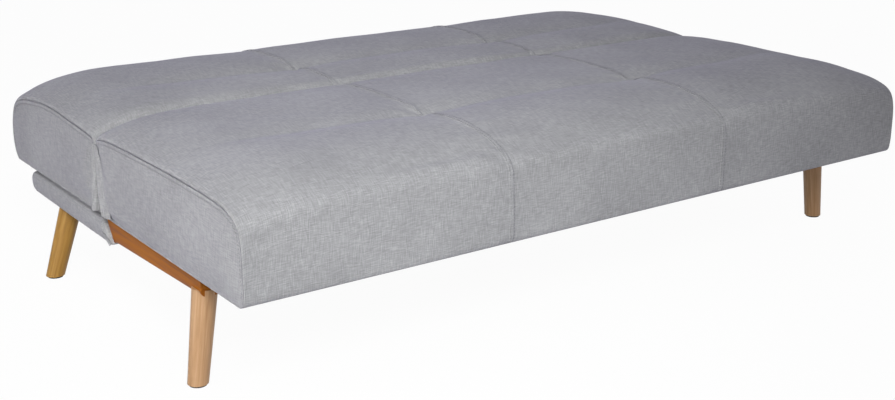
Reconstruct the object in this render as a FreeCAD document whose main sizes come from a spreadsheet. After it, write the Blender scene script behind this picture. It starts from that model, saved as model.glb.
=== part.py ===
"""Click clack sofa bed, shown flat as a bed, in millimetres.

+X runs along the sofa, +Y towards the back slab and +Z up. The origin is on the floor,
under the middle of the bed. Two upholstered slabs, the seat in front and the back behind
it, turn about one axis in the crease between them. A padded platform, two wooden side
rails and four splayed legs carry them.
"""

import FreeCAD, Part
import math
import operator
import os
from types import SimpleNamespace

import Sketcher
from FreeCAD import Placement, Rotation, Vector

doc = FreeCAD.newDocument("ClickClackSofaBed")
sheet = doc.addObject("Spreadsheet::Sheet", "Sizes")
nodes = []

OPERATIONS = {
    "+": operator.add,
    "-": operator.sub,
    "*": operator.mul,
    "/": operator.truediv,
}


class Size:
    """A number together with the sheet formula that gives it."""

    def __init__(self, number, formula):
        self.number = number
        self.formula = formula

    def __float__(self):
        return float(self.number)

    def joined(self, sign, left, right):
        left, right = as_size(left), as_size(right)
        number = OPERATIONS[sign](left.number, right.number)
        return Size(number, f"({left.formula} {sign} {right.formula})")

    def __add__(self, other):
        return self.joined("+", self, other)

    def __radd__(self, other):
        return self.joined("+", other, self)

    def __sub__(self, other):
        return self.joined("-", self, other)

    def __rsub__(self, other):
        return self.joined("-", other, self)

    def __mul__(self, other):
        return self.joined("*", self, other)

    def __rmul__(self, other):
        return self.joined("*", other, self)

    def __truediv__(self, other):
        return self.joined("/", self, other)

    def __neg__(self):
        return self.joined("*", -1, self)


def as_size(value):
    return value if isinstance(value, Size) else Size(value, repr(value))


driving_sizes = {
    # Overall sizes
    "sofa_length": 1800,
    "seat_depth": 666,
    "back_depth": 550,
    "slab_bottom": 226,
    "end_height": 400,  # top of the slabs at their end seams
    "crown_rise": 48,  # the cushions' tops above the end seams
    "crown_run": 200,  # how far from an end the crown is full
    # Slabs
    "crease_gap": 4,
    "cover_wall": 16,
    "seat_channel": 336,  # crease to the sewn channel
    "back_channel": 214,
    "channel_depth": 11,
    "tuft_depth": 20,
    "slope_run": 95,  # from the crease to where the crown is level
    "slope_run_end": 30,
    "slope_sink": 8,
    "front_run": 106,  # where the crown starts to fall to the far side
    "front_run_end": 120,
    "front_fall": 76,
    "front_fall_end": 62,
    "channel_pinch": 60,
    "front_corner": 15,
    "rear_corner": 36,
    "frame_height": 88,
    "board_thickness": 25,
    "dust_cloth": 1.5,
    "web_thickness": 2,
    "web_width": 60,
    # Platform
    "platform_top": 217,
    "platform_thickness": 52,
    "platform_rear": 450,  # behind the crease
    "platform_front": 45,  # in front of the crease
    "platform_wrap": 4,
    "platform_end_pad": 10,
    "deck_board": 6,
    "beam_width": 40,
    "buffer_size": 30,
    "buffer_inset": 75,  # from the platform's rear
    "tenon_inset": 4,
    # Side rails, stretcher and legs
    "rail_thickness": 36,
    "rail_inset": 8,
    "rail_reach": 473,  # in front of the crease
    "rail_rear_height": 56,
    "rail_front_height": 40,
    "rail_toe": 42,  # slant of the rail's rear end
    "rest_gap": 0.3,
    "leg_top_diameter": 51,
    "leg_foot_diameter": 41,
    "front_leg_place": 450,
    "front_leg_splay": 24,
    "rear_leg_place": 276,
    "rear_leg_splay": 52,
    "glide_thickness": 4,
    "leg_shoulder": 12,  # front leg's step up beside its rail
    "bolt_diameter": 8,
    "bolt_drop": 34,  # into the leg
    "bolt_rise": 26,  # into the rail
    # Hinge mechanism
    "pivot_drop": 16,  # pivot below the end seams
    "plate_thickness": 4,
    "plate_play": 1,
    "pin_diameter": 12,
    "pin_clearance": 0.05,
    "pin_head_diameter": 18,
    "pin_head": 3,
    "strap_width": 24,
    "arm_reach": 270,
    "arm_drop": 94,
    "bracket_toe": 8,  # behind the crease
    "bracket_heel": 68,
    "bracket_flange": 44,
    "sector_radius": 62,
    "tooth_depth": 8,
    "tooth_width": 5.6,
    "tooth_play": 1.8,
    "tooth_turn": -112,  # degrees about the pivot, from +Y
    "tooth_pitch": 35,  # degrees between ratchet positions
    "pawl_pin_diameter": 8,
    "pawl_radius": 84,
    "pawl_turn": -72,
    "pawl_width": 13,
    "pawl_hub_diameter": 18,
    "pawl_lift": 12,  # degrees clear of the notch when flat
    "spring_leaf": 1.6,
    # Gussets
    "gusset_top_width": 10,
    "gusset_foot_width": 90,
    "gusset_fold": 4,
}
web_count = 9
bearer_count = 5
notch_count = 4
pleat_count = 4

for row, (alias, number) in enumerate(driving_sizes.items(), 1):
    sheet.set(f"A{row}", alias)
    sheet.set(f"B{row}", str(number))
    sheet.setAlias(f"B{row}", alias)
size = SimpleNamespace(
    **{alias: Size(number, f"Sizes.{alias}") for alias, number in driving_sizes.items()}
)

# Places that follow from the sizes
crease = (size.seat_depth - size.back_depth) / 2
pivot_height = size.end_height - size.pivot_drop
half_length = size.sofa_length / 2
frame_floor = size.slab_bottom + size.dust_cloth
frame_top = frame_floor + size.frame_height
foam_floor = frame_top + size.web_thickness
bracket_outer = half_length - size.cover_wall - size.plate_thickness
back_arm_outer = bracket_outer - size.plate_thickness - size.plate_play
seat_arm_outer = back_arm_outer - size.plate_thickness - size.plate_play
rail_outer = half_length - size.rail_inset
rail_inner = rail_outer - size.rail_thickness
rail_middle = rail_outer - size.rail_thickness / 2
rail_top = size.slab_bottom - size.rest_gap
rail_rear_bottom = rail_top - size.rail_rear_height
rail_front_bottom = rail_top - size.rail_front_height
front_leg_x = rail_middle
rear_leg_x = rail_middle - 8
platform_bottom = size.platform_top - size.platform_thickness
tenon_end = crease + size.platform_rear - size.platform_thickness / 2
deck_bottom = size.platform_top - size.platform_wrap - size.deck_board
beam_floor = platform_bottom + size.platform_wrap
SIDES = (("left", -1), ("right", 1))
ALONG_X = Rotation(Vector(0, 1, 0), 90)


def piece(obj, label):
    """Name a finished sub-part: its label becomes its node and file name."""
    obj.Label = label
    nodes.append(obj)
    return obj


def repeated(label, parts):
    """One sub-part of several equal pieces that don't touch each other."""
    return piece(group(label, "Part::Compound", parts), label)


def across(side, outer, inner):
    """The low and high X of something between two distances from the middle."""
    return (-outer, -inner) if side < 0 else (inner, outer)


def box(label, x, y, z):
    block = doc.addObject("Part::Box", label)
    sides = zip(("Length", "Width", "Height"), "xyz", (x, y, z))
    for length, axis, (low, high) in sides:
        block.setExpression(length, (as_size(high) - low).formula)
        block.setExpression(f"Placement.Base.{axis}", as_size(low).formula)
    return block


def cylinder(label, diameter, start, length, turn=None):
    """A round bar from start along Z, or along the way that turn tips Z."""
    bar = doc.addObject("Part::Cylinder", label)
    bar.Placement = Placement(Vector(), turn or Rotation())
    bar.setExpression("Radius", (as_size(diameter) / 2).formula)
    bar.setExpression("Height", as_size(length).formula)
    for axis, place in zip("xyz", start):
        bar.setExpression(f"Placement.Base.{axis}", as_size(place).formula)
    return bar


def group(label, kind, parts):
    joined = doc.addObject(kind, label)
    if kind == "Part::Compound":
        joined.Links = list(parts)
    else:
        joined.Shapes = list(parts)
    return joined


def cut(label, base, *tools):
    result = doc.addObject("Part::Cut", label)
    result.Base = base
    result.Tool = tools[0] if len(tools) == 1 else group(label + "Tools", "Part::MultiFuse", tools)
    return result


def solid(label, shape):
    feature = doc.addObject("Part::Feature", label)
    feature.Shape = shape
    return feature


def profile_body(label, corners, x):
    """A body padded along X from a closed outline of (y, z) corners, fully bound to the sheet."""
    body = doc.addObject("PartDesign::Body", label)
    plane = next(item for item in body.Origin.OriginFeatures if item.Role == "YZ_Plane")
    sketch = body.newObject("Sketcher::SketchObject", label + "Outline")
    sketch.AttachmentSupport = (plane, [""])
    sketch.MapMode = "FlatFace"
    corners = [(as_size(y), as_size(z)) for y, z in corners]
    points = [Vector(float(y), float(z), 0) for y, z in corners]
    count = len(points)
    for index in range(count):
        line = Part.LineSegment(points[index], points[(index + 1) % count])
        sketch.addGeometry(line, False)
    for index in range(count):
        follower = (index + 1) % count
        sketch.addConstraint(Sketcher.Constraint("Coincident", index, 2, follower, 1))
    for index, (y, z) in enumerate(corners):
        for way, place in (("DistanceX", y), ("DistanceY", z)):
            made = Sketcher.Constraint(way, -1, 1, index, 1, float(place))
            number = sketch.addConstraint(made)
            sketch.setExpression(f"Constraints[{number}]", place.formula)
    low, high = x
    pad = body.newObject("PartDesign::Pad", label + "Pad")
    pad.Profile = sketch
    pad.setExpression("Length", (high - low).formula)
    body.setExpression("Placement.Base.x", low.formula)
    return body


def disc(radius, thickness, x, y, z):
    return Part.makeCylinder(float(radius), float(thickness), Vector(x, y, z), Vector(1, 0, 0))


def strap(points, width, thickness, x, y, z):
    """A flat steel strap of even width with round ends, along (y, z) points about a place."""
    half, thickness = float(width) / 2, float(thickness)
    places = [Vector(x, y + float(p), z + float(q)) for p, q in points]
    lengths = []
    for start, end in zip(places, places[1:]):
        across_run = (end - start).cross(Vector(1, 0, 0)).normalize() * half
        corners = [start - across_run, end - across_run, end + across_run, start + across_run]
        face = Part.Face(Part.makePolygon(corners + corners[:1]))
        lengths.append(face.extrude(Vector(thickness, 0, 0)))
    rounds = [disc(half, thickness, *place) for place in places]
    return lengths[0].fuse(lengths[1:] + rounds).removeSplitter()


# Cushions: a crowned shell of foam and cover over each timber frame


def crown_at(x):
    """Share of the full crown at a distance x from the sofa's middle."""
    run = min(1.0, (float(half_length) - abs(x)) / float(size.crown_run))
    return math.sqrt(1 - (1 - run) ** 2)


def cushion_section(x, depth, channel, dip, outer_corner, facing):
    """One closed section across a slab. Facing is -1 for the seat and 1 for the back."""
    crown = crown_at(x)
    top = float(size.end_height) + float(size.crown_rise) * crown
    bottom = float(size.slab_bottom)
    hinge_side = float(size.crease_gap) / 2

    def crowned(at_end, in_full):
        """A size between its value at the end seam and under the full crown."""
        return float(at_end) + (float(in_full) - float(at_end)) * crown

    shoulder = crowned(size.slope_run_end, size.slope_run)
    sink = crowned(1, size.slope_sink)
    shoulder_top = top - sink
    lip = float(pivot_height) - hinge_side
    pinch = float(size.channel_pinch)
    front_start = depth - crowned(size.front_run_end, size.front_run)
    fall = crowned(size.front_fall_end, size.front_fall)

    def at(distance, height):
        return Vector(x, float(crease) + facing * distance, height)

    def arc(start, middle, end):
        return Part.Arc(at(*start), at(*middle), at(*end)).toShape()

    def line(start, end):
        return Part.LineSegment(at(*start), at(*end)).toShape()

    foot = (hinge_side, bottom)
    crease_top = (hinge_side, lip)
    crease_shoulder = (shoulder, shoulder_top)
    crease_bulge = (
        (hinge_side + shoulder) / 2 - crowned(1, 2),
        (lip + shoulder_top) / 2 + crowned(2, 4),
    )
    channel_start = (channel - pinch, top - 0.35 * dip)
    channel_end = (channel + pinch, top - 0.35 * dip)
    corner_start = (front_start, top - sink)
    corner_middle = (depth - crowned(26, 28), top - crowned(14, 36))
    face_top = (depth - 2, top - fall)
    face_bottom = (depth, bottom + outer_corner)
    under_edge = (depth - outer_corner, bottom)
    turn = outer_corner * (1 - math.sqrt(0.5))
    rear_crest = ((shoulder + channel - pinch) / 2, top + 1)
    front_crest = ((front_start + channel + pinch) / 2, top + 1)
    edges = [
        line(foot, crease_top),
        arc(crease_top, crease_bulge, crease_shoulder),
        arc(crease_shoulder, rear_crest, channel_start),
        arc(channel_start, (channel, top - dip), channel_end),
        arc(channel_end, front_crest, corner_start),
        arc(corner_start, corner_middle, face_top),
        line(face_top, face_bottom),
        arc(face_bottom, (depth - turn, bottom + turn), under_edge),
        line(under_edge, foot),
    ]
    return Part.Wire(edges)


def cushion_form(depth, channel, outer_corner, facing):
    """The crowned outer form, with a channel that the two tufts pull deepest."""
    half = float(half_length)
    shallow = float(size.channel_depth)
    deep = float(size.tuft_depth)
    stations = [
        (half, 2),
        (half - 55, 2),
        (half - 130, 3),
        (half * 2 / 3, 0.8 * shallow),
        (half / 3, deep),
    ]
    places = [(-x, dip) for x, dip in stations] + [(0, shallow)]
    places += [(x, dip) for x, dip in reversed(stations)]
    sections = [
        cushion_section(x, float(depth), float(channel), dip, float(outer_corner), facing)
        for x, dip in places
    ]
    return Part.makeLoft(sections, True, True)


def mechanism_pocket(side, facing):
    """The room that the hinge plates need in a slab's end, next to the crease."""
    drop = float(size.slab_bottom - pivot_height)
    reach = float(size.arm_drop) + 6
    boss = float(size.strap_width) / 2 + 2
    shelf = -float(size.arm_drop - size.strap_width)
    neck = reach * 0.3
    fan = float(size.sector_radius)
    if facing < 0:
        outline = [(0, drop), (reach, drop), (reach, shelf), (2 * neck, -neck)]
        outline += [(neck, boss), (0, boss)]
    else:
        outline = [(0, drop), (reach, drop), (reach, shelf), (fan + 12, -neck), (fan + 8, 8)]
        outline += [(neck * 0.7, boss), (0, boss)]
    corners = [
        Vector(0, float(crease) + facing * distance, float(pivot_height) + height)
        for distance, height in outline
    ]
    low, high = across(side, half_length - size.cover_wall, seat_arm_outer - size.plate_thickness - 4)
    face = Part.Face(Part.makePolygon(corners + corners[:1]))
    pocket = face.extrude(Vector(float(high - low), 0, 0))
    pocket.translate(Vector(float(low), 0, 0))
    return pocket


def cushion(label, depth, channel, outer_corner, facing):
    form = solid(label + "Form", cushion_form(depth, channel, outer_corner, facing))
    crease_wall = size.cover_wall + size.crease_gap / 2
    near = crease + facing * crease_wall
    far = crease + facing * (depth - size.cover_wall)
    inner = (near, far) if facing > 0 else (far, near)
    end = half_length - size.cover_wall
    cavity = box(label + "Cavity", (-end, end), inner, (size.slab_bottom - 1, foam_floor))
    pockets = [
        solid(f"{label}Pocket{name}", mechanism_pocket(side, facing)) for name, side in SIDES
    ]
    return piece(cut(label, form, cavity, *pockets), label)


def slab(name, depth, channel, outer_corner, facing, end_board_outer):
    """One upholstered slab: cushion, timber frame, webbing and dust cloth."""
    cushion(f"{name}_cushion", depth, channel, outer_corner, facing)

    def span(near, far):
        low, high = crease + facing * near, crease + facing * far
        return (low, high) if facing > 0 else (high, low)

    crease_wall = size.cover_wall + size.crease_gap / 2
    outer = depth - size.cover_wall
    levels = (frame_floor, frame_top)
    end = half_length - size.cover_wall
    end_board_inner = end_board_outer - size.board_thickness
    end_board_start = crease_wall if facing < 0 else size.sector_radius + 18
    outer_board = span(outer - size.board_thickness, outer)
    piece(box(f"{name}_outer_board", (-end, end), outer_board, levels), f"{name}_outer_board")
    crease_board = span(crease_wall, crease_wall + size.board_thickness)
    crease_ends = (-end_board_inner, end_board_inner)
    piece(box(f"{name}_crease_board", crease_ends, crease_board, levels), f"{name}_crease_board")
    ends = []
    for word, side in SIDES:
        x = across(side, end_board_outer, end_board_inner)
        y = span(end_board_start, outer - size.board_thickness)
        ends.append(box(f"{name}_end_board_{word}", x, y, levels))
    repeated(f"{name}_end_boards", ends)
    inner_y = span(crease_wall + size.board_thickness, outer - size.board_thickness)
    half_board = size.board_thickness / 2
    middle = [
        box(
            f"{name}_cross_board_{word}",
            (side * half_length / 3 - half_board, side * half_length / 3 + half_board),
            inner_y,
            levels,
        )
        for word, side in SIDES
    ]
    corner_y = span(crease_wall + size.board_thickness, crease_wall + size.board_thickness * 5)
    corner_levels = (frame_floor, frame_floor + size.frame_height / 2)
    for word, side in SIDES:
        x = across(side, end_board_inner, end_board_inner - size.board_thickness * 1.5)
        middle.append(box(f"{name}_corner_block_{word}", x, corner_y, corner_levels))
    repeated(f"{name}_cross_boards", middle)
    strips = []
    pitch = 2 * (end - size.web_width) / (web_count - 1)
    for index in range(web_count):
        middle_x = (index - (web_count - 1) / 2) * pitch
        x = (middle_x - size.web_width / 2, middle_x + size.web_width / 2)
        y = span(crease_wall + 4, outer - 4)
        strips.append(box(f"{name}_web_{index}", x, y, (frame_top, foam_floor)))
    repeated(f"{name}_webbing", strips)
    cloth_x = (-end_board_outer, end_board_outer)
    cloth_y = span(crease_wall, outer)
    cloth = box(f"{name}_dust_cloth", cloth_x, cloth_y, (size.slab_bottom, frame_floor))
    piece(cloth, f"{name}_dust_cloth")


seat_board_outer = seat_arm_outer - size.plate_thickness
back_board_outer = back_arm_outer - size.plate_thickness
slab("seat", size.seat_depth, size.seat_channel, size.front_corner, -1, seat_board_outer)
slab("back", size.back_depth, size.back_channel, size.rear_corner, 1, back_board_outer)

# Side rails: one timber each, tapered in front and a plain tenon inside the platform


def side_rail(word, side):
    label = f"{word}_side_rail"
    corners = [
        (crease - size.rail_reach, rail_front_bottom),
        (crease - size.rail_toe, rail_rear_bottom),
        (crease, rail_top),
        (crease - size.rail_reach, rail_top),
    ]
    low, high = across(side, rail_outer, rail_inner)
    body = profile_body(label + "Visible", corners, (low, high))
    doc.recompute()
    pad = body.Tip
    outer_x = 0 if side < 0 else float(size.rail_thickness)
    front_y = float(crease - size.rail_reach)
    picked = []
    for number, edge in enumerate(pad.Shape.Edges, 1):
        start, end = (vertex.Point for vertex in edge.Vertexes)
        at_outer = abs(start.x - outer_x) < 0.01 and abs(end.x - outer_x) < 0.01
        at_front = max(start.y, end.y) < front_y + 1
        if at_outer and not at_front:
            picked.append(f"Edge{number}")
    rounding = body.newObject("PartDesign::Fillet", label + "Rounding")
    rounding.Base = (pad, picked)
    rounding.setExpression("Radius", (size.rail_thickness / 3).formula)
    tenon = box(
        label + "Tenon",
        across(side, rail_outer - size.tenon_inset, rail_inner),
        (crease - size.rail_toe, tenon_end),
        (beam_floor, deck_bottom),
    )
    return group(label + "Blank", "Part::MultiFuse", [body, tenon])


rails = {word: side_rail(word, side) for word, side in SIDES}

# Platform: a timber frame and deck under the back slab, wrapped in fabric

cover_front = crease - size.platform_front
cover_rear = crease + size.platform_rear
cover_end = half_length - 2
frame_end = cover_end - size.platform_end_pad
frame_front = cover_front + size.platform_wrap
nose = size.platform_thickness / 2

flat_part = box(
    "platformFlat",
    (-cover_end, cover_end),
    (cover_front, cover_rear - nose),
    (platform_bottom, size.platform_top),
)
round_nose = cylinder(
    "platformNose",
    size.platform_thickness,
    (-cover_end, cover_rear - nose, platform_bottom + nose),
    2 * cover_end,
    ALONG_X,
)
wrapped = group("platformWrapped", "Part::MultiFuse", [flat_part, round_nose])
hollow = box(
    "platformHollow",
    (-frame_end, frame_end),
    (frame_front, tenon_end),
    (beam_floor, size.platform_top - size.platform_wrap),
)
rail_rooms = [
    box(
        f"railRoom_{word}",
        across(side, half_length + 5, rail_inner),
        (cover_front - 1, crease),
        (rail_rear_bottom, rail_top + 1),
    )
    for word, side in SIDES
]
rail_slots = [
    box(
        f"railSlot_{word}",
        across(side, rail_outer - size.tenon_inset, rail_inner),
        (cover_front - 1, tenon_end),
        (beam_floor, deck_bottom),
    )
    for word, side in SIDES
]


def leg_bolts(word, side):
    """The upright dowel bolts that hold the legs on one side."""
    bolts = []
    for name, x, y, seat_level in (
        ("front", front_leg_x, crease - size.front_leg_place, rail_front_bottom),
        ("rear", rear_leg_x, crease + size.rear_leg_place, platform_bottom),
    ):
        start = (side * x, y, seat_level - size.bolt_drop)
        label = f"bolt_{name}_{word}"
        bolts.append(cylinder(label, size.bolt_diameter, start, size.bolt_drop + size.bolt_rise))
    return bolts


bolts = {word: leg_bolts(word, side) for word, side in SIDES}
all_bolts = [bolt for word, side in SIDES for bolt in bolts[word]]
rear_bolts = [bolts["left"][1], bolts["right"][1]]
cover_tools = [hollow, *rail_rooms, *rail_slots, *rear_bolts]
cover = cut("platform_cover", wrapped, *cover_tools)
piece(cover, "platform_cover")

beam_x = (-rail_inner, rail_inner)
front_beam = box(
    "platform_front_beam",
    beam_x,
    (frame_front, frame_front + size.beam_width),
    (beam_floor, deck_bottom),
)
piece(front_beam, "platform_front_beam")
rear_beam = box(
    "platform_rear_beam",
    beam_x,
    (tenon_end - size.beam_width, tenon_end),
    (beam_floor, deck_bottom),
)
piece(rear_beam, "platform_rear_beam")
bearers = []
for index in range(bearer_count):
    middle_x = (index - (bearer_count - 1) / 2) * size.sofa_length / (bearer_count + 1)
    bearers.append(
        box(
            f"bearer_{index}",
            (middle_x - size.beam_width / 2, middle_x + size.beam_width / 2),
            (frame_front + size.beam_width, tenon_end - size.beam_width),
            (beam_floor, deck_bottom),
        )
    )
repeated("platform_bearers", bearers)
deck = box(
    "deckBoard",
    (-frame_end, frame_end),
    (frame_front, tenon_end),
    (deck_bottom, size.platform_top - size.platform_wrap),
)
piece(cut("platform_deck", deck, *rail_rooms), "platform_deck")

for word, side in SIDES:
    drilled = cut(f"{word}_side_rail_drilled", rails[word], *bolts[word])
    piece(drilled, f"{word}_side_rail")

stretcher_depth = size.rail_thickness
stretcher_front = crease - size.front_leg_place - stretcher_depth / 2
stretcher = box(
    "front_stretcher",
    (-rail_inner, rail_inner),
    (stretcher_front, stretcher_front + stretcher_depth),
    (rail_front_bottom + 4, rail_top),
)
piece(stretcher, "front_stretcher")

# Legs: splayed tapered cones with a flat foot and a glide


def leg(word, side, place, x, y, level, splay, carried):
    """One leg from its glide up to level, cut away where the timber sits on it."""
    label = f"{place}_{word}_leg"
    rise = float(level - size.glide_thickness)
    lean = math.degrees(math.atan2(side * float(splay), rise))
    cone = doc.addObject("Part::Cone", label + "Taper")
    cone.Placement = Placement(Vector(), Rotation(Vector(0, 1, 0), 180 - lean))
    spare = size.leg_shoulder + 2
    run = level + 2 * spare
    cone.setExpression("Radius1", (size.leg_top_diameter / 2).formula)
    cone.setExpression("Radius2", (size.leg_foot_diameter / 2).formula)
    cone.setExpression("Height", run.formula)
    slope = splay / (level - size.glide_thickness)
    cone.setExpression("Placement.Base.x", (side * (x - slope * spare)).formula)
    cone.setExpression("Placement.Base.y", y.formula)
    cone.setExpression("Placement.Base.z", (level + spare).formula)
    reach = x + splay + size.leg_top_diameter
    top = level + size.leg_shoulder if place == "front" else level
    inside = x - size.leg_top_diameter * 2
    slice_box = box(
        label + "Length",
        across(side, reach, inside),
        (y - size.leg_top_diameter, y + size.leg_top_diameter),
        (size.glide_thickness, top),
    )
    bounded = doc.addObject("Part::Common", label + "Bounded")
    bounded.Base = cone
    bounded.Tool = slice_box
    return cut(label, bounded, *carried)


glides, front_legs, rear_legs = [], [], []
for word, side in SIDES:
    front_y = crease - size.front_leg_place
    carried = [rails[word], stretcher, bolts[word][0]]
    front_leg = leg(
        word, side, "front", front_leg_x, front_y, rail_front_bottom, size.front_leg_splay, carried
    )
    front_legs.append(front_leg)
    rear_y = crease + size.rear_leg_place
    rear_bolt = [bolts[word][1]]
    rear_leg = leg(
        word, side, "rear", rear_leg_x, rear_y, platform_bottom, size.rear_leg_splay, rear_bolt
    )
    rear_legs.append(rear_leg)
    for name, x, y in (
        ("front", front_leg_x + size.front_leg_splay, front_y),
        ("rear", rear_leg_x + size.rear_leg_splay, rear_y),
    ):
        pad_diameter = size.leg_foot_diameter - 6
        start = (side * x, y, 0)
        glides.append(cylinder(f"glide_{name}_{word}", pad_diameter, start, size.glide_thickness))
repeated("front_legs", front_legs)
repeated("rear_legs", rear_legs)
repeated("leg_glides", glides)
repeated("leg_bolts", all_bolts)

buffers = []
buffer_rear = cover_rear - size.buffer_inset
for word, side in SIDES:
    for name, x in (("outer", half_length * 0.8), ("inner", half_length * 0.27)):
        buffer_x = across(side, x + size.buffer_size / 2, x - size.buffer_size / 2)
        buffer_y = (buffer_rear - size.buffer_size, buffer_rear)
        levels = (size.platform_top, size.slab_bottom - size.rest_gap)
        buffers.append(box(f"buffer_{name}_{word}", buffer_x, buffer_y, levels))
repeated("rest_buffers", buffers)

# Hinge mechanism, one set at each end of the crease, of plates that stand on edge

pivot_y, pivot_z = float(crease), float(pivot_height)
plate = float(size.plate_thickness)
pin_bore_radius = float(size.pin_diameter) / 2 + float(size.pin_clearance)
pawl_y = float(size.pawl_radius) * math.cos(math.radians(float(size.pawl_turn)))
pawl_z = float(size.pawl_radius) * math.sin(math.radians(float(size.pawl_turn)))


def low_x(side, outer, thickness):
    """Low X of a plate whose outer face is a distance from the middle."""
    return -float(outer) if side < 0 else float(outer) - float(thickness)


def polar(radius, degrees, x):
    turn = math.radians(degrees)
    return Vector(x, pivot_y + radius * math.cos(turn), pivot_z + radius * math.sin(turn))


def bore(radius, y=0.0, z=0.0):
    """A long cutter along X for a hole at a place about the pivot."""
    reach = float(half_length)
    return disc(radius, 2 * reach, -reach, pivot_y + y, pivot_z + z)


steel_pairs = {}


def steel(word, name, shape):
    """Keep one side's steel piece, to go out with its twin from the other side."""
    made = solid(f"{name}_{word}", shape.removeSplitter())
    steel_pairs.setdefault(name, []).append(made)
    return made


def tooth_shape(x, thickness, width, tip_radius):
    """A wedge that points at the pivot, from beyond the sector down to tip_radius."""
    outer = float(size.sector_radius) + 12
    angle = float(size.tooth_turn)
    half_tip = math.degrees(width / 2 / tip_radius)
    half_root = math.degrees(width * 0.8 / outer)
    corners = [
        polar(outer, angle - half_root, x),
        polar(outer, angle + half_root, x),
        polar(tip_radius, angle + half_tip, x),
        polar(tip_radius, angle - half_tip, x),
    ]
    face = Part.Face(Part.makePolygon(corners + corners[:1]))
    return face.extrude(Vector(float(thickness), 0, 0))


def ratchet_sector(x):
    """The toothed fan on the seat's arm, with a notch for each position."""
    radius = float(size.sector_radius)
    pitch = float(size.tooth_pitch)
    first = float(size.tooth_turn) - 12
    last = float(size.tooth_turn) + (notch_count - 1) * pitch + 9
    centre = Vector(x, pivot_y, pivot_z)
    start, middle, end = (polar(radius, turn, x) for turn in (first, (first + last) / 2, last))
    edges = [
        Part.LineSegment(centre, start).toShape(),
        Part.Arc(start, middle, end).toShape(),
        Part.LineSegment(end, centre).toShape(),
    ]
    fan = Part.Face(Part.Wire(edges)).extrude(Vector(plate, 0, 0))
    root = radius - float(size.tooth_depth) - 1
    notch = tooth_shape(x - 1, plate + 2, float(size.tooth_width + size.tooth_play), root)
    for step in range(notch_count):
        turned = notch.copy()
        turned.rotate(centre, Vector(1, 0, 0), step * pitch)
        fan = fan.cut(turned)
    return fan


def hinge_bracket(word, side):
    """An upright on the platform with an inward foot, which holds the pivot pin."""
    x = low_x(side, bracket_outer, size.plate_thickness)
    toe, heel, flange = float(size.bracket_toe), float(size.bracket_heel), float(size.bracket_flange)
    boss = float(size.strap_width) / 2
    foot_level = float(size.platform_top)
    outline = [(toe, foot_level - pivot_z), (heel, foot_level - pivot_z), (boss, 0), (-boss, 0)]
    corners = [Vector(x, pivot_y + y, pivot_z + z) for y, z in outline]
    upright = Part.Face(Part.makePolygon(corners + corners[:1])).extrude(Vector(plate, 0, 0))
    foot_low = x if side < 0 else x + plate - flange
    foot = Part.makeBox(flange, heel - toe, plate, Vector(foot_low, pivot_y + toe, foot_level))
    bracket = upright.fuse([disc(boss, plate, x, pivot_y, pivot_z), foot])
    steel(word, "hinge_brackets", bracket.cut(bore(size.pin_diameter / 2)))


def hinge_arm(side, outer, facing):
    """A slab's arm: down from the pivot, then along the slab's end board."""
    x = low_x(side, outer, size.plate_thickness)
    reach, drop = facing * float(size.arm_reach), float(size.arm_drop)
    line = [(0, 0), (facing * drop, -drop), (reach, -drop)]
    return strap(line, size.strap_width, plate, x, pivot_y, pivot_z).cut(bore(pin_bore_radius)), x


def pawl_set(word, side, seat_x):
    """The pawl, its pin and the leaf spring under it, all carried by the back's arm."""
    thick = float(size.plate_thickness - size.plate_play)
    x = seat_x if side < 0 else seat_x + float(size.plate_play)
    axis = Vector(0, pivot_y + pawl_y, pivot_z + pawl_z)
    tooth_root = polar(float(size.sector_radius) + 9, float(size.tooth_turn), x)
    tooth_place = (tooth_root.y - pivot_y, tooth_root.z - pivot_z)
    pawl = strap([(pawl_y, pawl_z), tooth_place], size.pawl_width, thick, x, pivot_y, pivot_z)
    tip_radius = float(size.sector_radius - size.tooth_depth)
    tooth = tooth_shape(x, thick, float(size.tooth_width), tip_radius)
    hub = disc(size.pawl_hub_diameter / 2, thick, x, axis.y, axis.z)
    hole = bore(float(size.pawl_pin_diameter) / 2 + float(size.pin_clearance), pawl_y, pawl_z)
    pawl = pawl.fuse([tooth, hub]).cut(hole)
    pawl.rotate(axis, Vector(1, 0, 0), float(size.pawl_lift))
    piece(solid(f"{word}_pawl", pawl.removeSplitter()), f"{word}_pawl")

    length = float(2 * size.plate_thickness + size.plate_play + size.pin_head)
    low = low_x(side, back_arm_outer, length)
    clip = 1.5
    clip_low = low + length - clip if side < 0 else low
    pin = disc(size.pawl_pin_diameter / 2, length, low, axis.y, axis.z)
    pin = pin.fuse([disc(size.pawl_pin_diameter / 2 + 3, clip, clip_low, axis.y, axis.z)])
    steel(word, "pawl_pins", pin)

    leaf_x = seat_x - float(size.plate_play) if side < 0 else seat_x + float(size.plate_play)
    hub_clear = float(size.pawl_hub_diameter + size.spring_leaf) / 2 + 0.8
    leaf_line = [(float(size.arm_drop) - 16, 9 - float(size.arm_drop)), (pawl_y, pawl_z - hub_clear)]
    leaf = strap(leaf_line, size.spring_leaf, plate, leaf_x, pivot_y, pivot_z)
    steel(word, "pawl_springs", leaf)


def pivot_pin(word, side):
    """The riveted pin through the bracket and both arms."""
    head = float(size.pin_head)
    clear = 0.2
    outer_face = side * float(bracket_outer)
    inner_face = side * float(seat_arm_outer - size.plate_thickness)
    low = min(outer_face, inner_face) - head
    length = abs(outer_face - inner_face) + 2 * head
    outer_low = outer_face - head if side < 0 else outer_face
    inner_low = inner_face + clear if side < 0 else inner_face - head
    parts = [
        disc(size.pin_head_diameter / 2, head, outer_low, pivot_y, pivot_z),
        disc(size.pin_head_diameter / 2, head - clear, inner_low, pivot_y, pivot_z),
    ]
    shaft = disc(size.pin_diameter / 2, length, low, pivot_y, pivot_z)
    steel(word, "pivot_pins", shaft.fuse(parts))


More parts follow.
